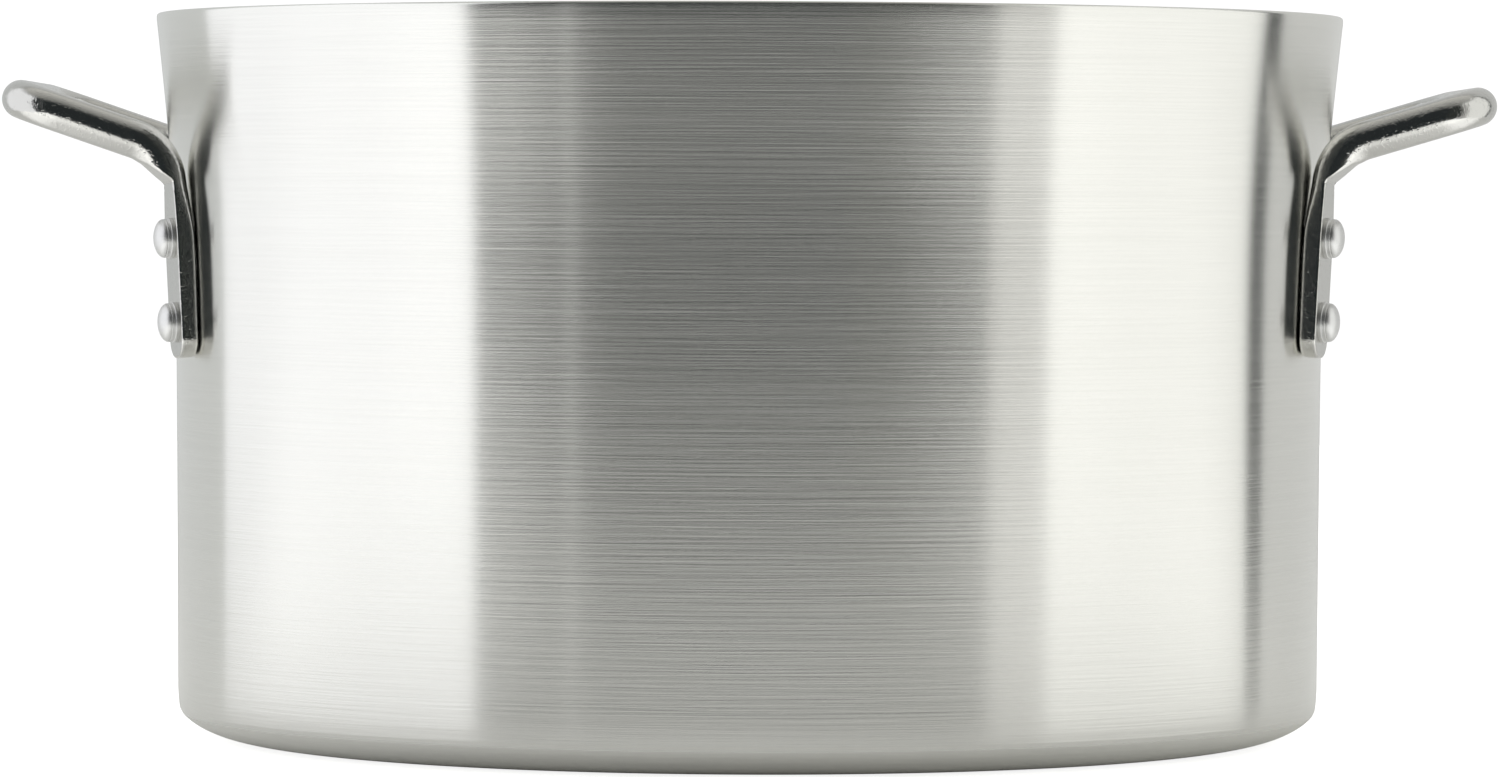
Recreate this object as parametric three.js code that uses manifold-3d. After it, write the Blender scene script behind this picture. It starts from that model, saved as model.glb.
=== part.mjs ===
// A two-handled aluminium stock pot: a spun body and two bent-rod loop handles, each held on by
// four rivets. Millimetres, +Z up. The origin is the centre of the underside of the base, and the
// handles lie along X.
import * as THREE from "three";
import { mergeVertices } from "three/addons/utils/BufferGeometryUtils.js";
import Module from "manifold-3d";

// Pot body
const potHeight = 243.5;
const lowerWallRadius = 192.1; // outside of the wall, where the nearly straight part starts
const lowerWallSlope = 0.0042;
const flareSlope = 0.1124; // of the cone that the wall runs out into towards the rim
const flareHeight = 185; // where that cone would meet the straight wall
const flareSoftness = 30; // how gently the wall turns from one to the other
const heelHeight = 14.9;
const heelDepth = 27.7; // how far the bottom corner runs in towards the axis
const wallThickness = 4;
const baseThickness = 5;
const bodySegments = 84;

// Handles: each foot lies on the wall, leaning out a little and turned in a little at the top. They
// are riveted on by hand, so the two don't sit quite alike. side is 1 towards +X and -1 towards -X.
const handles = {
  right: { side: 1, footBottom: 130.4, crossbarHeight: 213.5 },
  left: { side: -1, footBottom: 129, crossbarHeight: 214.2 },
};
const legEnds = { front: -1, back: 1 }; // 1 towards +Y and -1 towards -Y
const rodDiameter = 12.7;
const footAzimuth = THREE.MathUtils.degToRad(18.6); // of each foot's lower end, off the X axis
const footLean = THREE.MathUtils.degToRad(2);
const footTurn = THREE.MathUtils.degToRad(4);
const footWidth = 17;
const footThickness = 5.6;
const footCornerRadius = 6.5;
const footBevel = 0.7;
const footTaperStart = 43; // heights up the leg, from the lower end of the foot
const footLedge = 58;
const ledgeDepth = 10; // of the sloping ledge above the flat, outwards
const ledgeRise = 8; // and upwards
const bendHeight = 69;
const bendRadius = 15;
const crossbarX = 241.7;
const crossbarHalfLength = 60;
const loopCornerRadius = 15;
const rodSides = 18;
const rodSteps = 80;

// Rivets
const rivetHeights = { upper: 39.6, lower: 11.8 }; // up the leg
const shankDiameter = 6.4;
const headDiameter = 13.4;
const headSideHeight = 2.2;
const headDomeHeight = 3.4;
const innerHeadDiameter = 12;
const innerHeadHeight = 2.6;
const rivetSegments = 16;

const clearance = 0.3; // between pieces that touch on the real pot

const aluminium = { color: 0xb9bab6, roughness: 0.32, metalness: 1 };
const platedSteel = { color: 0xd0cfca, roughness: 0.12, metalness: 1 };
const rivetAluminium = { color: 0xc9c9c6, roughness: 0.28, metalness: 1 };

const wasm = await Module();
wasm.setup();

function solidFrom(geometry) {
  const bare = geometry.index ? geometry.toNonIndexed() : geometry.clone();
  bare.deleteAttribute("normal");
  bare.deleteAttribute("uv");
  const merged = mergeVertices(bare, 1e-3);
  const vertProperties = merged.attributes.position.array;
  const triVerts = new Uint32Array(merged.index.array);
  return new wasm.Manifold(new wasm.Mesh({ numProp: 3, vertProperties, triVerts }));
}

function geometryFrom(solid) {
  const mesh = solid.getMesh();
  const geometry = new THREE.BufferGeometry();
  geometry.setAttribute("position", new THREE.BufferAttribute(mesh.vertProperties, 3));
  geometry.setIndex(new THREE.BufferAttribute(mesh.triVerts, 1));
  geometry.computeVertexNormals();
  return geometry;
}

function meshOf(name, geometry, finish) {
  const mesh = new THREE.Mesh(geometry, new THREE.MeshStandardMaterial(finish));
  mesh.name = name;
  return mesh;
}

// Points of an elliptical arc, angles in degrees, both ends included.
function arc(centreX, centreY, radiusX, radiusY, from, to, steps) {
  return Array.from({ length: steps + 1 }, (_, i) => {
    const angle = THREE.MathUtils.degToRad(from + ((to - from) * i) / steps);
    return new THREE.Vector2(
      centreX + radiusX * Math.cos(angle),
      centreY + radiusY * Math.sin(angle),
    );
  });
}

// ---- Pot body

// Outside radius of the wall at a height: a nearly straight wall that turns softly into a cone.
function wallRadius(z) {
  const aboveFlare = z - flareHeight;
  const turn = aboveFlare + Math.hypot(aboveFlare, flareSoftness);
  return lowerWallRadius + lowerWallSlope * (z - heelHeight) + (flareSlope / 2) * turn;
}

// The section from the underside's centre, up the outside, over the round lip and down the inside.
function bodyProfile() {
  const lipRadius = wallThickness / 2;
  const lipBase = potHeight - lipRadius;
  const wallHeights = [80, 140, 165, 185, 205, 225, lipBase];
  const outside = wallHeights.map((z) => new THREE.Vector2(wallRadius(z), z));
  const inside = wallHeights
    .toReversed()
    .map((z) => new THREE.Vector2(wallRadius(z) - wallThickness, z));
  const lipCentre = wallRadius(lipBase) - lipRadius;
  const heelCentre = wallRadius(heelHeight) - heelDepth;
  const innerHeelDepth = heelDepth - wallThickness;
  const innerHeelHeight = heelHeight - baseThickness;
  return [
    new THREE.Vector2(0, 0),
    ...arc(heelCentre, heelHeight, heelDepth, heelHeight, -90, 0, 7),
    ...outside,
    ...arc(lipCentre, lipBase, lipRadius, lipRadius, 0, 180, 6).slice(1, -1),
    ...inside,
    ...arc(heelCentre, heelHeight, innerHeelDepth, innerHeelHeight, 0, -90, 6),
    new THREE.Vector2(0, baseThickness),
  ];
}

function makeBody(frames) {
  const lathe = new THREE.LatheGeometry(bodyProfile(), bodySegments);
  lathe.rotateX(Math.PI / 2);
  let body = solidFrom(lathe);
  for (const frame of frames) {
    for (const height of Object.values(rivetHeights)) {
      body = body.subtract(rivetHole(frame, height));
    }
  }
  return meshOf("pot_body", geometryFrom(body), aluminium);
}

// ---- Legs. A leg's frame has its origin at the foot's lower end, in the middle of its back. X is
// straight out through the thickness of the foot, Y is across it and Z is up the leg.

function legFrame({ side, footBottom }, end) {
  const azimuth = side > 0 ? end * footAzimuth : Math.PI - end * footAzimuth;
  const backRadius = wallRadius(footBottom) + clearance;
  return new THREE.Matrix4()
    .makeRotationZ(azimuth)
    .multiply(new THREE.Matrix4().makeTranslation(backRadius, 0, footBottom))
    .multiply(new THREE.Matrix4().makeRotationX(side * end * footTurn))
    .multiply(new THREE.Matrix4().makeRotationY(footLean));
}

// A closed cylinder along the line of one rivet, from inside the pot to outside the foot.
function rivetHole(frame, height) {
  const depth = 30;
  const radius = shankDiameter / 2 + clearance;
  const hole = new THREE.CylinderGeometry(radius, radius, depth, rivetSegments);
  hole.rotateZ(Math.PI / 2);
  hole.translate(0, 0, height);
  hole.applyMatrix4(frame);
  return solidFrom(hole);
}

// The flat foot: a bevelled slab, cut to its outline seen from outside.
function footSolid(frame) {
  const half = footWidth / 2;
  const top = footLedge - 3;
  const section = new THREE.Shape([
    new THREE.Vector2(0, 0),
    new THREE.Vector2(footThickness, 0),
    new THREE.Vector2(footThickness, top),
    new THREE.Vector2(0, top),
  ]);
  const slab = new THREE.ExtrudeGeometry(section, {
    depth: footWidth - 2 * footBevel,
    bevelSize: footBevel,
    bevelOffset: -footBevel,
    bevelThickness: footBevel,
    bevelSegments: 1,
  });
  slab.translate(0, 0, -half + footBevel);
  slab.rotateX(Math.PI / 2);
  slab.applyMatrix4(frame);

  const radius = footCornerRadius;
  const inset = half - radius;
  const outline = new THREE.Shape([
    ...arc(-inset, radius, radius, radius, 180, 270, 5),
    ...arc(inset, radius, radius, radius, 270, 360, 5),
    new THREE.Vector2(half, footTaperStart),
    new THREE.Vector2(rodDiameter / 4, top + 1),
    new THREE.Vector2(-rodDiameter / 4, top + 1),
    new THREE.Vector2(-half, footTaperStart),
  ]);
  const block = new THREE.ExtrudeGeometry(outline, {
    depth: 3 * footThickness,
    bevelEnabled: false,
  });
  block.rotateX(Math.PI / 2);
  block.rotateZ(Math.PI / 2);
  block.translate(-footThickness, 0, 0);
  block.applyMatrix4(frame);
  return solidFrom(slab).intersect(solidFrom(block));
}

// What is forged away in front of the flat, up to the sloping ledge where the rod stays round.
function forgedAway(frame) {
  const outer = footThickness + ledgeDepth;
  const section = new THREE.Shape([
    new THREE.Vector2(footThickness, 0),
    new THREE.Vector2(outer, 0),
    new THREE.Vector2(outer, footLedge + ledgeRise),
    new THREE.Vector2(footThickness, footLedge),
  ]);
  const block = new THREE.ExtrudeGeometry(section, {
    depth: 2 * footWidth,
    bevelEnabled: false,
  });
  block.translate(0, 0, -footWidth);
  block.rotateX(Math.PI / 2);
  block.applyMatrix4(frame);
  return solidFrom(block);
}

// ---- Handles

// A path through straight stretches, with each inner corner rounded to its radius.
function roundedPath(corners) {
  const path = new THREE.CurvePath();
  let from = corners[0].point;
  for (let i = 1; i < corners.length - 1; i += 1) {
    const { point, radius } = corners[i];
    const towardsLast = corners[i - 1].point.clone().sub(point).normalize();
    const towardsNext = corners[i + 1].point.clone().sub(point).normalize();
    const halfAngle = towardsLast.angleTo(towardsNext) / 2;
    const setback = radius / Math.tan(halfAngle);
    const start = point.clone().addScaledVector(towardsLast, setback);
    const end = point.clone().addScaledVector(towardsNext, setback);
    // The cubic that follows a round arc of this angle
    const reach = (4 / 3) * Math.tan((Math.PI - 2 * halfAngle) / 4) * radius;
    const startPull = start.clone().addScaledVector(towardsLast, -reach);
    const endPull = end.clone().addScaledVector(towardsNext, -reach);
    path.add(new THREE.LineCurve3(from, start));
    path.add(new THREE.CubicBezierCurve3(start, startPull, endPull, end));
    from = end;
  }
  path.add(new THREE.LineCurve3(from, corners.at(-1).point));
  return path;
}

// The centre of the rod, up one leg, round the loop and down the other leg.
function rodPath(handle) {
  const { side, crossbarHeight } = handle;
  const upLeg = (end, height) =>
    new THREE.Vector3(rodDiameter / 2, 0, height).applyMatrix4(legFrame(handle, end));
  const halfLoop = (end) => [
    { point: upLeg(end, footTaperStart) },
    { point: upLeg(end, bendHeight), radius: bendRadius },
    {
      point: new THREE.Vector3(side * crossbarX, end * crossbarHalfLength, crossbarHeight),
      radius: loopCornerRadius,
    },
  ];
  return roundedPath([...halfLoop(-1), ...halfLoop(1).toReversed()]);
}

function makeHandle(name, handle) {
  const circle = new THREE.Shape().absarc(0, 0, rodDiameter / 2, 0, 2 * Math.PI);
  const rod = new THREE.ExtrudeGeometry(circle, {
    curveSegments: rodSides / 2,
    steps: rodSteps,
    extrudePath: rodPath(handle),
  });
  let loop = solidFrom(rod);
  for (const end of Object.values(legEnds)) {
    const frame = legFrame(handle, end);
    loop = loop.subtract(forgedAway(frame)).add(footSolid(frame));
    for (const height of Object.values(rivetHeights)) {
      loop = loop.subtract(rivetHole(frame, height));
    }
  }
  return meshOf(name, geometryFrom(loop), platedSteel);
}

// ---- Rivets: a low head inside the pot, a shank through wall and foot, a domed head outside

// How far in from the foot's back the inside of the wall lies, at a height up the leg. The foot
// leans out and the wall flares, so this changes along the leg.
function wallDepth(frame, height) {
  const back = new THREE.Vector3(0, 0, height).applyMatrix4(frame);
  return Math.hypot(back.x, back.y) - wallRadius(back.z) + wallThickness;
}

function makeRivet(name, frame, height) {
  const innerFace = -wallDepth(frame, height) - 2 * clearance;
  const outerFace = footThickness + clearance;
  const shankRadius = shankDiameter / 2;
  const headRadius = headDiameter / 2;
  const domeBase = outerFace + headSideHeight;
  const profile = [
    ...arc(0, innerFace, innerHeadDiameter / 2, innerHeadHeight, -90, 0, 4),
    new THREE.Vector2(shankRadius, innerFace),
    new THREE.Vector2(shankRadius, outerFace),
    new THREE.Vector2(headRadius, outerFace),
    ...arc(0, domeBase, headRadius, headDomeHeight, 0, 90, 5),
  ];
  const geometry = new THREE.LatheGeometry(profile, rivetSegments);
  geometry.rotateZ(-Math.PI / 2);
  geometry.translate(0, 0, height);
  const rivet = meshOf(name, geometry, rivetAluminium);
  rivet.applyMatrix4(frame);
  return rivet;
}

// ---- The whole pot

const legs = [];
for (const [handleName, handle] of Object.entries(handles)) {
  for (const [endName, end] of Object.entries(legEnds)) {
    legs.push({ place: handleName + "_" + endName, frame: legFrame(handle, end) });
  }
}

const pot = new THREE.Group();
pot.add(makeBody(legs.map((leg) => leg.frame)));
for (const [handleName, handle] of Object.entries(handles)) {
  pot.add(makeHandle("handle_" + handleName, handle));
}
for (const { place, frame } of legs) {
  for (const [level, height] of Object.entries(rivetHeights)) {
    pot.add(makeRivet("rivet_" + place + "_" + level, frame, height));
  }
}

export default pot;
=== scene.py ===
"""The looks of a two-handled aluminium stock pot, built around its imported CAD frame.

Metres, +Z up. The origin is the centre of the underside of the base, and the handles lie along X.
"""

import math

import bmesh
import bpy
import numpy as np
from mathutils import Matrix, Vector


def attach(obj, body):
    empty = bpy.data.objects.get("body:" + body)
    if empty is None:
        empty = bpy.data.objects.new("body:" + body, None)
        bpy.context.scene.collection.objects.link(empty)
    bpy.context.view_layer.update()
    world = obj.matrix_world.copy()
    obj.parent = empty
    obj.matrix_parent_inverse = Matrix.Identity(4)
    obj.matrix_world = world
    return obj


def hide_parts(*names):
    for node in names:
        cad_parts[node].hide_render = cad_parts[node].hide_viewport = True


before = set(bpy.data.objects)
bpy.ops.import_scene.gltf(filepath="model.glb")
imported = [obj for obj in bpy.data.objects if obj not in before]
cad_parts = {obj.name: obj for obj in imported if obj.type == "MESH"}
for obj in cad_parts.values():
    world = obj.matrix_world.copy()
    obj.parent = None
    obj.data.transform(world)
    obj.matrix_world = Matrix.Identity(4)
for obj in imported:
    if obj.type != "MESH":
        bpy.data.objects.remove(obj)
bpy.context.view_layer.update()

MM = 0.001

# ---- Sizes, as in the CAD source

POT_HEIGHT = 243.5 * MM
LOWER_WALL_RADIUS = 192.1 * MM
LOWER_WALL_SLOPE = 0.0042
FLARE_SLOPE = 0.1124
FLARE_HEIGHT = 185 * MM
FLARE_SOFTNESS = 30 * MM
HEEL_HEIGHT = 14.9 * MM
HEEL_DEPTH = 27.7 * MM
WALL_THICKNESS = 4 * MM
BASE_THICKNESS = 5 * MM

HANDLES = {
    "right": {"side": 1, "foot_bottom": 130.4 * MM, "crossbar_height": 213.5 * MM},
    "left": {"side": -1, "foot_bottom": 129 * MM, "crossbar_height": 214.2 * MM},
}
LEG_ENDS = {"front": -1, "back": 1}
ROD_RADIUS = 6.35 * MM
FOOT_AZIMUTH = math.radians(18.6)
FOOT_LEAN = math.radians(2)
FOOT_TURN = math.radians(4)
FOOT_WIDTH = 17 * MM
FOOT_THICKNESS = 5.6 * MM
FOOT_CORNER_RADIUS = 6.5 * MM
FOOT_SPREAD_END = 38 * MM  # height up to which the foot keeps its full width
ROD_STARTS = 62 * MM  # height from which the section is round
FOOT_EDGE_RADIUS = 1.8 * MM  # of its edges on the wall side
BACK_OFFSET = 0.18 * MM  # how far the foot's back stands out towards the wall, to lie against it
BACK_SWELL = 0.5 * MM  # how much further it swells towards the middle of the leg
SWELL_RISE = 30 * MM  # length over which the swelling grows from the foot's lower end
SWELL_FALL = 20 * MM  # length over which it dies away below the bend
FOOT_LEDGE = 58 * MM
LEDGE_DEPTH = 10 * MM
LEDGE_RISE = 8 * MM
BEND_HEIGHT = 69 * MM
BEND_RADIUS = 15 * MM
CROSSBAR_X = 241.7 * MM
CROSSBAR_HALF_LENGTH = 60 * MM
LOOP_CORNER_RADIUS = 15 * MM

RIVET_HEIGHTS = {"upper": 39.6 * MM, "lower": 11.8 * MM}
SHANK_RADIUS = 3.2 * MM
HEAD_RADIUS = 6.7 * MM
HEAD_SIDE_HEIGHT = 2.5 * MM
HEAD_DOME_HEIGHT = 3.4 * MM
INNER_HEAD_RADIUS = 6 * MM
INNER_HEAD_HEIGHT = 2.6 * MM
CLEARANCE = 0.3 * MM

# ---- Finer shapes that only the visual model has

CREASE_HEIGHT = 8.9 * MM  # of the turned crease round the heel
CREASE_DEPTH = 1.2 * MM  # how far inside the wall it lies
BAND_HEIGHT = 10.4 * MM  # top edge of the narrow turned band above the crease
BAND_DEPTH = 0.45 * MM
CREASE_SOFTNESS = 0.08 * MM  # of the crease's edges
ABOVE_BAND = ((0.25 * MM, 1.6 * MM), (0.38 * MM, 3 * MM))  # out and up from the band, to the plain wall
PLAIN_WALL_STARTS = 17 * MM
RIM_EDGE_RADIUS = 1.0 * MM
CENTRE_RADIUS = 2 * MM  # of the smallest ring of the base
LATHE_SEGMENTS = 256
HEEL_STEPS = 30
INNER_HEEL_STEPS = 20
WALL_STATIONS = 60
RIM_STEPS = 8
BASE_STEPS = 12

LEDGE_SOFTNESS = 1.0 * MM  # of the edge between the flat and the ledge
LEDGE_END_SOFTNESS = 3 * MM
FLAT_EDGE_SOFTNESS = 0.9 * MM  # of the edges all round the flat
PLAIN_ROD_STARTS = BEND_HEIGHT + 20 * MM  # length along the handle from which it is a plain round rod
SECTION_CENTRE_MOVES = (FOOT_LEDGE - 8 * MM, FOOT_LEDGE + 4 * MM)  # from mid-foot to mid-rod
SECTION_REACH = 16 * MM  # more than any section's half width
SECTION_SEARCH_STEPS = 36
SECTION_POINTS = 96
CORNER_POINTS = 15  # extra points round each corner of a foot's section
CORNER_SPREAD = 0.11  # half the angle over which they lie
SMALLEST_ANGLE = 0.006

FLANGE_HEIGHT = 1.15 * MM  # of the narrow flange at the foot of each rivet's outer head
FLANGE_EDGE_RADIUS = 0.18 * MM
FLANGE_UNDERCUT = 0.1 * MM
CAP_INSET = 0.25 * MM  # of the head above the flange
CAP_EDGE_RADIUS = 0.35 * MM
DOME_STARTS = 8  # degrees above the head's side
HEAD_SUNK = 0.45 * MM  # how far the head's underside lies inside the foot
CAP_EDGE_END = 62  # degrees round the cap's edge at which the dome takes over
RIVET_SEGMENTS = 64


def wall_radius(z):
    """Outside radius of the wall at a height: a nearly straight wall that turns softly into a cone."""
    above_flare = z - FLARE_HEIGHT
    turn = above_flare + math.hypot(above_flare, FLARE_SOFTNESS)
    return LOWER_WALL_RADIUS + LOWER_WALL_SLOPE * (z - HEEL_HEIGHT) + FLARE_SLOPE / 2 * turn


def leg_frame(handle, end):
    """The leg's frame: X straight out through the thickness of the foot, Y across it, Z up the leg."""
    azimuth = end * FOOT_AZIMUTH if handle["side"] > 0 else math.pi - end * FOOT_AZIMUTH
    foot_bottom = handle["foot_bottom"]
    back = Vector((wall_radius(foot_bottom) + CLEARANCE, 0, foot_bottom))
    return (
        Matrix.Rotation(azimuth, 4, "Z")
        @ Matrix.Translation(back)
        @ Matrix.Rotation(handle["side"] * end * FOOT_TURN, 4, "X")
        @ Matrix.Rotation(FOOT_LEAN, 4, "Y")
    )


# ---- Mesh helpers


def arc(centre_r, centre_z, radius_r, radius_z, start, stop, steps):
    """Points of an elliptical arc, angles in degrees, both ends included."""
    angles = np.radians(np.linspace(start, stop, steps + 1))
    return [(centre_r + radius_r * math.cos(a), centre_z + radius_z * math.sin(a)) for a in angles]


def line(start, stop, steps):
    """Points along a straight stretch, without its first end."""
    return [
        (start[0] + (stop[0] - start[0]) * i / steps, start[1] + (stop[1] - start[1]) * i / steps)
        for i in range(1, steps + 1)
    ]


def add_object(name, points, faces, body="root"):
    """A smooth-shaded mesh object, riding on its body if it has one."""
    mesh = bpy.data.meshes.new(name)
    mesh.from_pydata([tuple(p) for p in points], [], faces)
    mesh.validate()
    mesh.shade_smooth()
    piece = bpy.data.objects.new(name, mesh)
    bpy.context.scene.collection.objects.link(piece)
    if body:
        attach(piece, body)
    return piece


def grid_faces(rings, ring_size):
    """Quads between rings of points, each ring closed on itself."""
    return [
        (
            i * ring_size + j,
            i * ring_size + (j + 1) % ring_size,
            (i + 1) * ring_size + (j + 1) % ring_size,
            (i + 1) * ring_size + j,
        )
        for i in range(rings - 1)
        for j in range(ring_size)
    ]


def lathe(name, profile, segments):
    """A closed body turned about Z. The profile runs from the axis to the axis, outside first."""
    rim = profile[1:-1]
    angles = np.linspace(0, 2 * math.pi, segments, endpoint=False)
    points = [(r * math.cos(a), r * math.sin(a), z) for r, z in rim for a in angles]
    faces = grid_faces(len(rim), segments)
    first, last = len(points), len(points) + 1
    points += [(0, 0, profile[0][1]), (0, 0, profile[-1][1])]
    top = (len(rim) - 1) * segments
    for j in range(segments):
        after = (j + 1) % segments
        faces.append((first, after, j))
        faces.append((last, top + j, top + after))
    return add_object(name, points, faces)


# ---- Pot body


def body_profile():
    """From the underside's centre, up the outside, over the rim and down the inside."""
    heel_centre = LOWER_WALL_RADIUS - HEEL_DEPTH
    crease = (LOWER_WALL_RADIUS - CREASE_DEPTH, CREASE_HEIGHT)
    band = (LOWER_WALL_RADIUS - BAND_DEPTH, BAND_HEIGHT)
    drop = (HEEL_HEIGHT - CREASE_HEIGHT) / HEEL_HEIGHT
    heel_radius = (crease[0] - heel_centre) / math.sqrt(1 - drop * drop)
    crease_angle = -math.degrees(math.asin(drop))
    heel = arc(heel_centre, HEEL_HEIGHT, heel_radius, HEEL_HEIGHT, -90, crease_angle, HEEL_STEPS)
    soft = CREASE_SOFTNESS
    band_part = [
        (crease[0] + 0.35 * soft, crease[1] + soft),
        (band[0] - 0.35 * soft, band[1] - soft),
        band,
        (band[0] + 0.1 * soft, band[1] + soft),
    ]
    band_part += [(band[0] + out, band[1] + up) for out, up in ABOVE_BAND]
    rim_top = POT_HEIGHT
    edge = RIM_EDGE_RADIUS
    rim_radius = wall_radius(rim_top - 2 * edge)
    outer_heights = np.linspace(PLAIN_WALL_STARTS, rim_top - 2 * edge, WALL_STATIONS)
    outer_wall = [(wall_radius(z), z) for z in outer_heights]
    rim = arc(rim_radius - edge, rim_top - edge, edge, edge, 0, 90, RIM_STEPS)
    inner_edge = rim_radius - WALL_THICKNESS + edge
    rim += arc(inner_edge, rim_top - edge, edge, edge, 90, 180, RIM_STEPS)
    inner_heights = np.linspace(rim_top - 2 * edge, HEEL_HEIGHT + 1 * MM, WALL_STATIONS)
    inner_wall = [(wall_radius(z) - WALL_THICKNESS, z) for z in inner_heights]
    inner_heel = arc(
        heel_centre,
        HEEL_HEIGHT,
        HEEL_DEPTH - WALL_THICKNESS,
        HEEL_HEIGHT - BASE_THICKNESS,
        0,
        -90,
        INNER_HEEL_STEPS,
    )
    return (
        [(0, 0), (CENTRE_RADIUS, 0)]
        + line((CENTRE_RADIUS, 0), (heel_centre - 1 * MM, 0), BASE_STEPS)
        + heel
        + band_part
        + outer_wall
        + rim
        + inner_wall
        + inner_heel
        + line((heel_centre, BASE_THICKNESS), (CENTRE_RADIUS, BASE_THICKNESS), BASE_STEPS)
        + [(0, BASE_THICKNESS)]
    )


# ---- Handles: a rod swept along its path, whose ends are forged into flat feet


def smooth_min(a, b, reach):
    """The smaller of two values, blended where they are within reach of each other."""
    blend = np.clip(0.5 + 0.5 * (b - a) / reach, 0, 1)
    return b + (a - b) * blend - reach * blend * (1 - blend)


def smooth_max(a, b, reach):
    return -smooth_min(-a, -b, reach)


def forged_field(x, y, z):
    """Below zero inside the rod and its spread foot, before the front is forged flat.

    x and y lie in the rod's section, with x from the wall side outwards, and z runs along the rod. The
    section is a box with round corners, which turns into the round rod above the foot.
    """
    share = np.clip((z - FOOT_SPREAD_END) / (ROD_STARTS - FOOT_SPREAD_END), 0, 1)
    share = share * share * (3 - 2 * share)
    half = FOOT_WIDTH / 2 + (ROD_RADIUS - FOOT_WIDTH / 2) * share
    edge = FOOT_EDGE_RADIUS + (ROD_RADIUS - FOOT_EDGE_RADIUS) * share
    corner = FOOT_CORNER_RADIUS
    past_side = np.abs(y) - (half - corner)
    past_end = corner - z
    outline = (
        np.hypot(np.maximum(past_side, 0), np.maximum(past_end, 0))
        + np.minimum(np.maximum(past_side, past_end), 0)
        - corner
    )
    from_outline = outline + edge
    swell = BACK_SWELL * np.clip(z / SWELL_RISE, 0, 1) * np.clip((BEND_HEIGHT - z) / SWELL_FALL, 0, 1)
    from_back = np.maximum(-x - BACK_OFFSET * (1 - share) - swell, x - 2 * ROD_RADIUS) + edge
    return (
        np.hypot(np.maximum(from_outline, 0), np.maximum(from_back, 0))
        + np.minimum(np.maximum(from_outline, from_back), 0)
        - edge
    )


def handle_field(x, y, z, local_x, local_z):
    """Below zero inside the handle, with its front forged flat up to the ledge."""
    solid = forged_field(x, y, z)
    ledge_length = math.hypot(LEDGE_DEPTH, LEDGE_RISE)
    below_ledge = (local_x - FOOT_THICKNESS) * LEDGE_RISE - (local_z - FOOT_LEDGE) * LEDGE_DEPTH
    in_front = smooth_min(local_x - FOOT_THICKNESS, below_ledge / ledge_length, LEDGE_SOFTNESS)
    in_front = smooth_min(in_front, FOOT_THICKNESS + LEDGE_DEPTH - local_x, LEDGE_END_SOFTNESS)
    return smooth_max(solid, in_front, FLAT_EDGE_SOFTNESS)


def rounded_path(corners):
    """Stations (point, tangent) along straight stretches with round corners.

    corners is a list of (point, radius, straight step, round step). The steps are the greatest
    distances between stations, on the straight stretch up to the corner and round the corner itself.
    """
    stations = []
    start = corners[0][0]
    for i in range(1, len(corners) - 1):
        point, radius, straight_step, round_step = corners[i]
        back = (corners[i - 1][0] - point).normalized()
        ahead = (corners[i + 1][0] - point).normalized()
        half_angle = back.angle(ahead) / 2
        setback = radius / math.tan(half_angle)
        arc_start = point + back * setback
        centre = point + (back + ahead).normalized() * (radius / math.sin(half_angle))
        turn = math.pi - 2 * half_angle
        steps = max(2, math.ceil((arc_start - start).length / straight_step))
        for k in range(0 if i == 1 else 1, steps):
            stations.append((start.lerp(arc_start, k / steps), -back))
        arm = arc_start - centre
        axis = back.cross(ahead).normalized()
        round_steps = math.ceil(turn * radius / round_step)
        for k in range(round_steps + 1):
            spin = Matrix.Rotation(-turn * k / round_steps, 3, axis)
            stations.append((centre + spin @ arm, spin @ -back))
        start = point + ahead * setback
    end, _, last_step, _ = corners[-1]
    steps = max(2, math.ceil((end - start).length / last_step))
    ahead = (end - start).normalized()
    for k in range(1, steps + 1):
        stations.append((start.lerp(end, k / steps), ahead))
    return stations


def section_angles():
    """Directions round a section, closer together towards the corners of the flat foot."""
    corner = math.atan2(FOOT_THICKNESS / 2, FOOT_WIDTH / 2)
    angles = list(np.linspace(0, 2 * math.pi, SECTION_POINTS, endpoint=False))
    for middle in (
        math.pi / 2 - corner,
        math.pi / 2 + corner,
        -math.pi / 2 - corner,
        -math.pi / 2 + corner,
    ):
        angles += list(middle + np.linspace(-CORNER_SPREAD, CORNER_SPREAD, CORNER_POINTS))
    angles = np.sort(np.mod(angles, 2 * math.pi))
    keep = np.append(True, np.diff(angles) > SMALLEST_ANGLE)
    return angles[keep]


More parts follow.
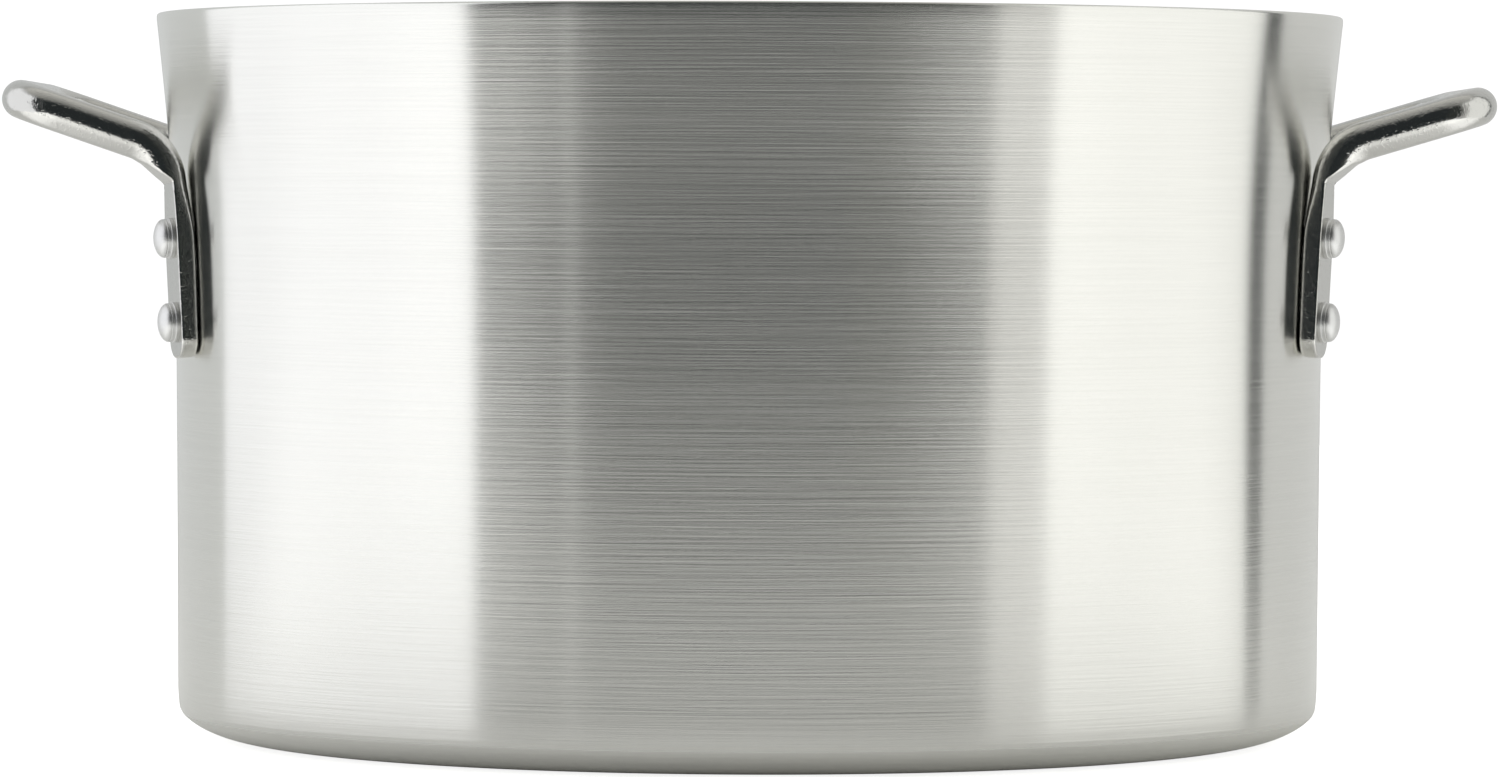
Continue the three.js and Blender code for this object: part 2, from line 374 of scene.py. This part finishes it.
def half_handle_rings(handle):
    """Rings of points from the lower end of the front foot to the middle of the crossbar."""
    leg = leg_frame(handle, -1)
    to_leg = np.array(leg.inverted())
    side = handle["side"]

    def up(z):
        return leg @ Vector((ROD_RADIUS, 0, z))

    corner = Vector((side * CROSSBAR_X, -CROSSBAR_HALF_LENGTH, handle["crossbar_height"]))
    middle = Vector((side * CROSSBAR_X, 0, handle["crossbar_height"]))
    stations = rounded_path(
        [
            (up(FOOT_SPREAD_END), 0, 0, 0),
            (up(BEND_HEIGHT), BEND_RADIUS, 0.5 * MM, 0.4 * MM),
            (corner, LOOP_CORNER_RADIUS, 2 * MM, 1 * MM),
            (middle, 0, 4 * MM, 0),
        ]
    )
    round_end = np.array([0.01, 0.05, 0.12, 0.25, 0.45, 0.7, 1, 1.4, 1.9, 2.5, 3.2, 4, 5, 6, 7, 8.5]) * MM
    straight_part = np.linspace(11 * MM, FOOT_SPREAD_END - 1 * MM, 14)
    heights = [*round_end, *straight_part]
    upright = (leg.to_3x3() @ Vector((0, 0, 1))).normalized()
    stations = [(up(z), upright) for z in heights] + stations

    angles = section_angles()
    cosines, sines = np.cos(angles), np.sin(angles)
    outward = (leg.to_3x3() @ Vector((1, 0, 0))).normalized()
    across = (leg.to_3x3() @ Vector((0, 1, 0))).normalized()
    before = upright
    last_point = up(0)
    travelled = 0
    rings = []
    for point, tangent in stations:
        turn = before.rotation_difference(tangent)
        outward = turn @ outward
        across = turn @ across
        before = tangent
        travelled += (point - last_point).length
        last_point = point
        move_starts, move_ends = SECTION_CENTRE_MOVES
        share = float(np.clip((move_ends - travelled) / (move_ends - move_starts), 0, 1))
        offset = (FOOT_THICKNESS / 2 - ROD_RADIUS) * share
        if travelled > PLAIN_ROD_STARTS:
            reach = np.full(len(angles), ROD_RADIUS)
        else:
            near, far = np.zeros(len(angles)), np.full(len(angles), SECTION_REACH)
            for _ in range(SECTION_SEARCH_STEPS):
                reach = (near + far) / 2
                u = offset + reach * cosines
                v = reach * sines
                place = (
                    np.array(point)[:, None]
                    + np.array(outward)[:, None] * u
                    + np.array(across)[:, None] * v
                )
                local = to_leg[:3, :3] @ place + to_leg[:3, 3:]
                inside = handle_field(u + ROD_RADIUS, v, travelled, local[0], local[2]) < 0
                near = np.where(inside, reach, near)
                far = np.where(inside, far, reach)
        u = offset + reach * cosines
        v = reach * sines
        rings.append(
            np.array(point)[None, :]
            + u[:, None] * np.array(outward)[None, :]
            + v[:, None] * np.array(across)[None, :]
        )
    return rings


def make_handle(name, handle):
    front = half_handle_rings(handle)
    mirror = np.array([1, -1, 1])
    back = [ring * mirror for ring in front[:-1]][::-1]
    rings = front + back
    size = len(rings[0])
    points = [p for ring in rings for p in ring]
    faces = grid_faces(len(rings), size)
    faces.append(tuple(range(size))[::-1])
    faces.append(tuple(range((len(rings) - 1) * size, len(rings) * size)))
    piece = add_object(name, points, faces)
    fix_normals(piece)
    return piece


def fix_normals(piece):
    """Turns every face outwards."""
    shape = bmesh.new()
    shape.from_mesh(piece.data)
    bmesh.ops.recalc_face_normals(shape, faces=shape.faces)
    shape.to_mesh(piece.data)
    shape.free()


# ---- Rivets


def wall_depth(leg, height):
    """How far in from the foot's back the inside of the wall lies, at a height up the leg."""
    back = leg @ Vector((0, 0, height))
    return math.hypot(back.x, back.y) - wall_radius(back.z) + WALL_THICKNESS


def make_rivet(name, leg, height):
    """A turned rivet along +Z, then laid along the leg's X axis at its height."""
    inner = -wall_depth(leg, height) - 0.5 * CLEARANCE
    outer = FOOT_THICKNESS
    flange = outer + FLANGE_HEIGHT
    dome_base = outer + HEAD_SIDE_HEIGHT
    cap_radius = HEAD_RADIUS - CAP_INSET
    step = FLANGE_EDGE_RADIUS
    edge = CAP_EDGE_RADIUS
    underside = outer - HEAD_SUNK
    profile = (
        arc(0, inner, INNER_HEAD_RADIUS, INNER_HEAD_HEIGHT, -90, 0, 16)
        + [(INNER_HEAD_RADIUS, inner + 0.1 * MM), (SHANK_RADIUS, inner + 0.12 * MM)]
        + [(SHANK_RADIUS, underside - 0.05 * MM), (HEAD_RADIUS - FLANGE_UNDERCUT, underside)]
        + [(HEAD_RADIUS, underside + 0.15 * MM)]
        + arc(HEAD_RADIUS - step, flange - step, step, step, 0, 90, 4)
        + [(cap_radius, flange + 0.06 * MM)]
        + arc(cap_radius - edge, dome_base - edge, edge, edge, 0, CAP_EDGE_END, 5)
        + arc(0, dome_base - CAP_INSET, cap_radius, HEAD_DOME_HEIGHT, DOME_STARTS, 90, 22)
    )
    piece = lathe(name, profile, RIVET_SEGMENTS)
    place = leg @ Matrix.Translation(Vector((0, 0, height))) @ Matrix.Rotation(math.pi / 2, 4, "Y")
    piece.data.transform(place)
    fix_normals(piece)
    return piece


# ---- Materials

TURNED_COLORS = ((0.862, 0.858, 0.820), (0.890, 0.886, 0.848))  # of the darkest and lightest lines
WALL_ROUGHNESS = (0.225, 0.255)
WALL_ANISOTROPY = 1.0
HEEL_ROUGHNESS = (0.42, 0.48)
HEEL_ANISOTROPY = 0.4
STEEL_COLOR = (0.67, 0.665, 0.64)
RIVET_COLOR = (0.80, 0.80, 0.79)
GRAIN_DEPTH = 0.0001
LINE_DEPTH = 0.00009  # of the turned lines
ALONG_LINES = 0.25  # anisotropic rotation that smears reflections across lines round the axis


def new_material(name):
    material = bpy.data.materials.new(name)
    material.use_nodes = True
    tree = material.node_tree
    tree.nodes.clear()
    output = tree.nodes.new("ShaderNodeOutputMaterial")
    shader = tree.nodes.new("ShaderNodeBsdfPrincipled")
    tree.links.new(shader.outputs[0], output.inputs[0])
    return material, tree, shader


def node(tree, kind, inputs=None, **settings):
    made = tree.nodes.new(kind)
    for key, value in settings.items():
        setattr(made, key, value)
    for key, value in (inputs or {}).items():
        if isinstance(value, bpy.types.NodeSocket):
            tree.links.new(value, made.inputs[key])
        else:
            made.inputs[key].default_value = value
    return made


def math_node(tree, operation, *values):
    return node(tree, "ShaderNodeMath", dict(enumerate(values)), operation=operation).outputs[0]


def map_range(tree, value, from_low, from_high, to_low, to_high, smooth=False):
    inputs = {0: value, 1: from_low, 2: from_high, 3: to_low, 4: to_high}
    kind = "SMOOTHSTEP" if smooth else "LINEAR"
    return node(tree, "ShaderNodeMapRange", inputs, interpolation_type=kind).outputs[0]


def noise(tree, vector, scale, detail=2.0, roughness=0.5):
    inputs = {"Vector": vector, "Scale": scale, "Detail": detail, "Roughness": roughness}
    return node(tree, "ShaderNodeTexNoise", inputs).outputs[0]


def weighted(tree, first, weight, second):
    """The weighted mean of two values, by the first one's weight."""
    share = math_node(tree, "MULTIPLY", first, weight)
    return math_node(tree, "MULTIPLY_ADD", second, 1 - weight, share)


def color_mix(tree, factor, first, second):
    """A colour between two, by a factor."""
    mix = node(tree, "ShaderNodeMix", {"Factor": factor}, data_type="RGBA")
    colors = [socket for socket in mix.inputs if socket.type == "RGBA"]
    colors[0].default_value = (*first, 1)
    colors[1].default_value = (*second, 1)
    return next(socket for socket in mix.outputs if socket.type == "RGBA")


def turned_aluminium(name, roughness_range, anisotropy):
    """Lathe-turned aluminium: fine lines run round the axis, on the wall and the base alike."""
    material, tree, shader = new_material(name)
    place = node(tree, "ShaderNodeTexCoord").outputs["Object"]
    x, y, z = node(tree, "ShaderNodeSeparateXYZ", {0: place}).outputs
    x_squared = math_node(tree, "MULTIPLY", x, x)
    y_squared = math_node(tree, "MULTIPLY", y, y)
    radius = math_node(tree, "SQRT", math_node(tree, "ADD", x_squared, y_squared))
    along_profile = math_node(tree, "ADD", radius, z)

    def lines(around, across, detail, roughness):
        """Noise drawn out round the axis, with its features per metre round it and across it."""
        stretched = node(
            tree,
            "ShaderNodeCombineXYZ",
            {
                0: math_node(tree, "MULTIPLY", x, around),
                1: math_node(tree, "MULTIPLY", y, around),
                2: math_node(tree, "MULTIPLY", along_profile, across),
            },
        )
        return noise(tree, stretched.outputs[0], 1.0, detail, roughness)

    fine = lines(14, 1300, 2.0, 0.6)
    broad = lines(3, 260, 2.0, 0.5)
    faint = lines(3, 30, 1.0, 0.5)
    turning = weighted(tree, fine, 0.72, broad)
    shade = map_range(tree, turning, 0.38, 0.62, 0, 1)
    tree.links.new(color_mix(tree, shade, *TURNED_COLORS), shader.inputs["Base Color"])
    finish = weighted(tree, turning, 0.7, faint)
    low, high = roughness_range
    tree.links.new(map_range(tree, finish, 0.3, 0.7, low, high), shader.inputs["Roughness"])
    shader.inputs["Metallic"].default_value = 1.0
    shader.inputs["Anisotropic"].default_value = anisotropy
    shader.inputs["Anisotropic Rotation"].default_value = ALONG_LINES
    tangent = node(tree, "ShaderNodeTangent", direction_type="RADIAL", axis="Z")
    tree.links.new(tangent.outputs[0], shader.inputs["Tangent"])
    bump = node(tree, "ShaderNodeBump", {"Strength": 1.0, "Distance": LINE_DEPTH, "Height": turning})
    tree.links.new(bump.outputs[0], shader.inputs["Normal"])
    return material


def plated_steel():
    """Bright plated steel rod with fine pits."""
    material, tree, shader = new_material("plated_steel")
    place = node(tree, "ShaderNodeTexCoord").outputs["Object"]
    grain = noise(tree, place, 1400, 2.0, 0.6)
    pits = noise(tree, place, 900, 1.0, 0.5)
    shader.inputs["Base Color"].default_value = (*STEEL_COLOR, 1)
    tree.links.new(map_range(tree, grain, 0.35, 0.75, 0.09, 0.22), shader.inputs["Roughness"])
    shader.inputs["Metallic"].default_value = 1.0
    pitted = map_range(tree, pits, 0.58, 0.70, 0.0, 0.8)
    height = math_node(tree, "MULTIPLY_ADD", grain, 0.7, pitted)
    bump = node(tree, "ShaderNodeBump", {"Strength": 0.5, "Distance": GRAIN_DEPTH, "Height": height})
    tree.links.new(bump.outputs[0], shader.inputs["Normal"])
    return material


def rivet_aluminium():
    """Matt aluminium with a fine grain."""
    material, tree, shader = new_material("rivet_aluminium")
    place = node(tree, "ShaderNodeTexCoord").outputs["Object"]
    grain = noise(tree, place, 900, 2.0, 0.6)
    shader.inputs["Base Color"].default_value = (*RIVET_COLOR, 1)
    shader.inputs["Metallic"].default_value = 1.0
    tree.links.new(map_range(tree, grain, 0.3, 0.7, 0.36, 0.46), shader.inputs["Roughness"])
    bump = node(tree, "ShaderNodeBump", {"Strength": 0.1, "Distance": GRAIN_DEPTH, "Height": grain})
    tree.links.new(bump.outputs[0], shader.inputs["Normal"])
    return material


# ---- Studio: soft panels in the surrounding white, a pale floor and the camera

# Each panel: azimuth from the camera's side towards +X (degrees), brightness and colour
PANELS = [
    {"azimuth": (-129, -55.3), "brightness": 1.07, "color": (0.985, 0.99, 1.02)},
    {"azimuth": (61, 117.8), "brightness": 0.99, "color": (1, 1, 0.975)},
    {"azimuth": (48.2, 61), "brightness": 0.45, "color": (1, 0.985, 0.95)},
    {"azimuth": (124.3, 200), "brightness": 0.59, "color": (1, 1, 0.98)},
    {"azimuth": (-200, -129), "brightness": 0.59, "color": (0.985, 1, 0.995)},
    {"azimuth": (-35.7, -34.3), "brightness": 0.35, "color": (1, 1, 1)},
    {"azimuth": (20, 48.2), "brightness": 0.012, "color": (1, 0.96, 0.6)},
]
PANEL_BOTTOM = -42
PANEL_TOP = 54
PANEL_SOFTNESS = 0.5
PANEL_BOTTOM_SOFTNESS = 1
PANEL_TOP_SOFTNESS = 8
DARK = 0.03  # brightness added in every direction, and all there is between the panels
DARK_COLOR = (0.85, 1, 1.05)
CEILING_STARTS = 46  # elevation from which the ceiling shows between the panels
CEILING_FULL = 64
CEILING_BRIGHTNESS = 0.45  # straight up
CEILING_SLOPE = 0.5  # how much brighter it grows towards the back
CEILING_COLOR = (1, 0.985, 0.93)
CEILING_HALF_WIDTH = 55  # azimuth up to which it also shows between the panels' top edges
CEILING_SIDE_SOFTNESS = 5
BACKDROP = 1.05

FLOOR_X = 0.7  # half the floor's width
FLOOR_FRONT = -0.75
FLOOR_BACK = 3
FLOOR_COLOR = (0.72, 0.72, 0.70)
FLOOR_SEEN = 0.84  # glow of the floor where the camera sees it
FLOOR_GLOW_OUTSIDE_PAINTED_SHADOW = 0.15  # painted light: glow of the floor round the pot as the metal reflects it, left out close round the pot as a painted contact shadow
PAINTED_SHADOW_DISTANCES = (0.165, 0.195)  # from the axis, over which that glow grows from none under the pot: the soft edge of the painted contact shadow
FLOOR_FRONT_PAINTED_LIGHT = 0.22  # painted pool of light: how much brighter the reflected glow is in front of the pot
FRONT_PAINTED_LIGHT_Y = (-0.32, -0.2)
FLOOR_FRONT_PAINTED_SHADE = 0.29  # painted shade: how much darker the reflected glow grows again towards the floor's front edge
FRONT_PAINTED_SHADE_Y = (-0.62, -0.4)
FLOOR_SIDE_PAINTED_LIGHT = 0.65  # painted pool of light: how much brighter the reflected glow is beside the pot
SIDE_PAINTED_LIGHT_X = (0.25, 0.42)
SIDE_PAINTED_LIGHT_Y = (-0.05, 0.15)  # where that painted light ends towards the back

CAMERA_LENS = 175.9
CAMERA_PLACE = (0.0005, -2.4794, 0.18146)
CAMERA_PITCH = 0.02565
CAMERA_ROLL = 0.00381

OVERHEAD_SIZE = 2.2
OVERHEAD_PLACE = (0, -0.4, 2.2)
OVERHEAD_WATTS = 11


def step_up(tree, value, middle, softness):
    """0 below the middle and 1 above it, with a soft step between."""
    return map_range(tree, value, middle - softness, middle + softness, 0, 1, True)


def step_down(tree, value, middle, softness):
    return map_range(tree, value, middle - softness, middle + softness, 1, 0, True)


def background(tree, color, strength):
    inputs = {"Color": (*color, 1), "Strength": strength}
    return node(tree, "ShaderNodeBackground", inputs).outputs[0]


def make_world():
    """Panels, a ceiling and darkness for the metal to reflect, and white where the camera looks."""
    world = bpy.data.worlds.new("studio")
    bpy.context.scene.world = world
    world.use_nodes = True
    tree = world.node_tree
    tree.nodes.clear()
    direction = node(tree, "ShaderNodeTexCoord").outputs["Generated"]
    split = node(tree, "ShaderNodeSeparateXYZ", {0: direction})
    x, y, z = split.outputs
    towards_camera = math_node(tree, "MULTIPLY", y, -1.0)
    azimuth = math_node(tree, "DEGREES", math_node(tree, "ARCTAN2", x, towards_camera))
    elevation = math_node(tree, "DEGREES", math_node(tree, "ARCSINE", z))
    height = math_node(
        tree,
        "MULTIPLY",
        step_up(tree, elevation, PANEL_BOTTOM, PANEL_BOTTOM_SOFTNESS),
        step_down(tree, elevation, PANEL_TOP, PANEL_TOP_SOFTNESS),
    )
    lights = []
    for panel in PANELS:
        low, high = panel["azimuth"]
        inside = math_node(
            tree,
            "MULTIPLY",
            step_up(tree, azimuth, low, PANEL_SOFTNESS),
            step_down(tree, azimuth, high, PANEL_SOFTNESS),
        )
        shape = math_node(tree, "MULTIPLY", inside, height)
        lit = math_node(tree, "MULTIPLY", shape, panel["brightness"])
        lights.append(background(tree, panel["color"], lit))
    ceiling = math_node(
        tree,
        "MULTIPLY",
        map_range(tree, elevation, CEILING_STARTS, CEILING_FULL, 0, 1, True),
        math_node(tree, "ADD", math_node(tree, "MULTIPLY", y, CEILING_SLOPE), CEILING_BRIGHTNESS),
    )
    above_panels = step_up(tree, elevation, PANEL_TOP, PANEL_TOP_SOFTNESS)
    from_middle = math_node(tree, "ABSOLUTE", azimuth)
    middle = step_down(tree, from_middle, CEILING_HALF_WIDTH, CEILING_SIDE_SOFTNESS)
    shown = math_node(tree, "MULTIPLY", ceiling, math_node(tree, "MAXIMUM", above_panels, middle))
    lights.append(background(tree, CEILING_COLOR, shown))
    lights.append(background(tree, DARK_COLOR, DARK))
    total = lights[0]
    for light in lights[1:]:
        total = node(tree, "ShaderNodeAddShader", {0: total, 1: light}).outputs[0]
    seen = node(tree, "ShaderNodeLightPath").outputs["Is Camera Ray"]
    backdrop = background(tree, (1, 1, 1), BACKDROP)
    mix = node(tree, "ShaderNodeMixShader", {0: seen, 1: total, 2: backdrop})
    output = node(tree, "ShaderNodeOutputWorld")
    tree.links.new(mix.outputs[0], output.inputs[0])


def make_floor():
    """A pale floor that glows a little, so that it is as white as the backdrop behind the pot; the glow
    the metal reflects is painted light, with pools in front and beside, painted shade at the front and a
    painted contact shadow round the pot.
    """
    corners = [
        (-FLOOR_X, FLOOR_FRONT, 0),
        (FLOOR_X, FLOOR_FRONT, 0),
        (FLOOR_X, FLOOR_BACK, 0),
        (-FLOOR_X, FLOOR_BACK, 0),
    ]
    floor = add_object("floor", corners, [(0, 1, 2, 3)], body=None)
    material, tree, shader = new_material("pale_floor_painted_light")
    shader.inputs["Base Color"].default_value = (*FLOOR_COLOR, 1)
    shader.inputs["Roughness"].default_value = 0.9
    shader.inputs["Specular IOR Level"].default_value = 0.0
    shader.inputs["Emission Color"].default_value = (1, 1, 1, 1)
    place = node(tree, "ShaderNodeTexCoord").outputs["Object"]
    x, y, _ = node(tree, "ShaderNodeSeparateXYZ", {0: place}).outputs
    # painted pool of light beside the pot, in the glow the metal reflects
    beside = map_range(tree, math_node(tree, "ABSOLUTE", x), *SIDE_PAINTED_LIGHT_X, 0, 1, True)
    not_behind = map_range(tree, y, *SIDE_PAINTED_LIGHT_Y, 1, 0, True)
    side = math_node(tree, "MULTIPLY", beside, not_behind)
    distance = node(tree, "ShaderNodeVectorMath", {0: place}, operation="LENGTH").outputs["Value"]
    # painted contact shadow: the reflected glow is none close round the pot and grows outside it
    out_of_painted_shadow = map_range(tree, distance, *PAINTED_SHADOW_DISTANCES, 0.0, FLOOR_GLOW_OUTSIDE_PAINTED_SHADOW, True)
    # painted pool of light in front of the pot, then painted shade towards the floor's front edge
    brighter = map_range(tree, y, *FRONT_PAINTED_LIGHT_Y, FLOOR_FRONT_PAINTED_LIGHT, 0.0, True)
    darker = map_range(tree, y, *FRONT_PAINTED_SHADE_Y, -FLOOR_FRONT_PAINTED_SHADE, 0.0, True)
    near = math_node(tree, "ADD", math_node(tree, "ADD", out_of_painted_shadow, brighter), darker)
    # the painted light and shade summed into one glow; camera rays get at least the even FLOOR_SEEN glow
    glow = math_node(tree, "MULTIPLY_ADD", side, FLOOR_SIDE_PAINTED_LIGHT, near)
    seen = node(tree, "ShaderNodeLightPath").outputs["Is Camera Ray"]
    strength = math_node(tree, "MAXIMUM", math_node(tree, "MULTIPLY", seen, FLOOR_SEEN), glow)
    tree.links.new(strength, shader.inputs["Emission Strength"])
    floor.data.materials.append(material)


def make_overhead_light():
    """A wide soft light over the floor."""
    data = bpy.data.lights.new("overhead", "AREA")
    data.shape = "SQUARE"
    data.size = OVERHEAD_SIZE
    data.energy = OVERHEAD_WATTS
    light = bpy.data.objects.new("overhead", data)
    light.location = OVERHEAD_PLACE
    light.visible_camera = False
    light.visible_glossy = False
    bpy.context.scene.collection.objects.link(light)


def make_camera():
    """A long lens, about three quarters of the way up the pot, that looks along +Y and a little down."""
    data = bpy.data.cameras.new("camera")
    data.sensor_width = 36
    data.lens = CAMERA_LENS
    camera = bpy.data.objects.new("camera", data)
    camera.matrix_world = (
        Matrix.Translation(CAMERA_PLACE)
        @ Matrix.Rotation(math.pi / 2 - CAMERA_PITCH, 4, "X")
        @ Matrix.Rotation(CAMERA_ROLL, 4, "Z")
    )
    bpy.context.scene.collection.objects.link(camera)
    bpy.context.scene.camera = camera


# ---- The pot

make_camera()
make_world()
make_floor()
make_overhead_light()
bpy.context.scene.view_settings.view_transform = "Standard"

pot = lathe("pot_body_turned", body_profile(), LATHE_SEGMENTS)
fix_normals(pot)
pot.data.materials.append(turned_aluminium("turned_wall", WALL_ROUGHNESS, WALL_ANISOTROPY))
pot.data.materials.append(turned_aluminium("turned_heel", HEEL_ROUGHNESS, HEEL_ANISOTROPY))
for face in pot.data.polygons:
    faces_up = face.normal.z >= 0.01
    if face.center.z < CREASE_HEIGHT and not faces_up:
        face.material_index = 1  # the heel's finish
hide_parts("pot_body")

steel = plated_steel()
rivet_metal = rivet_aluminium()
for handle_name, handle in HANDLES.items():
    loop = make_handle("handle_" + handle_name + "_plated", handle)
    loop.data.materials.append(steel)
    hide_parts("handle_" + handle_name)
    for end_name, end in LEG_ENDS.items():
        leg = leg_frame(handle, end)
        for height_name, height in RIVET_HEIGHTS.items():
            cad_name = f"rivet_{handle_name}_{end_name}_{height_name}"
            rivet = make_rivet(cad_name + "_domed", leg, height)
            rivet.data.materials.append(rivet_metal)
            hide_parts(cad_name)
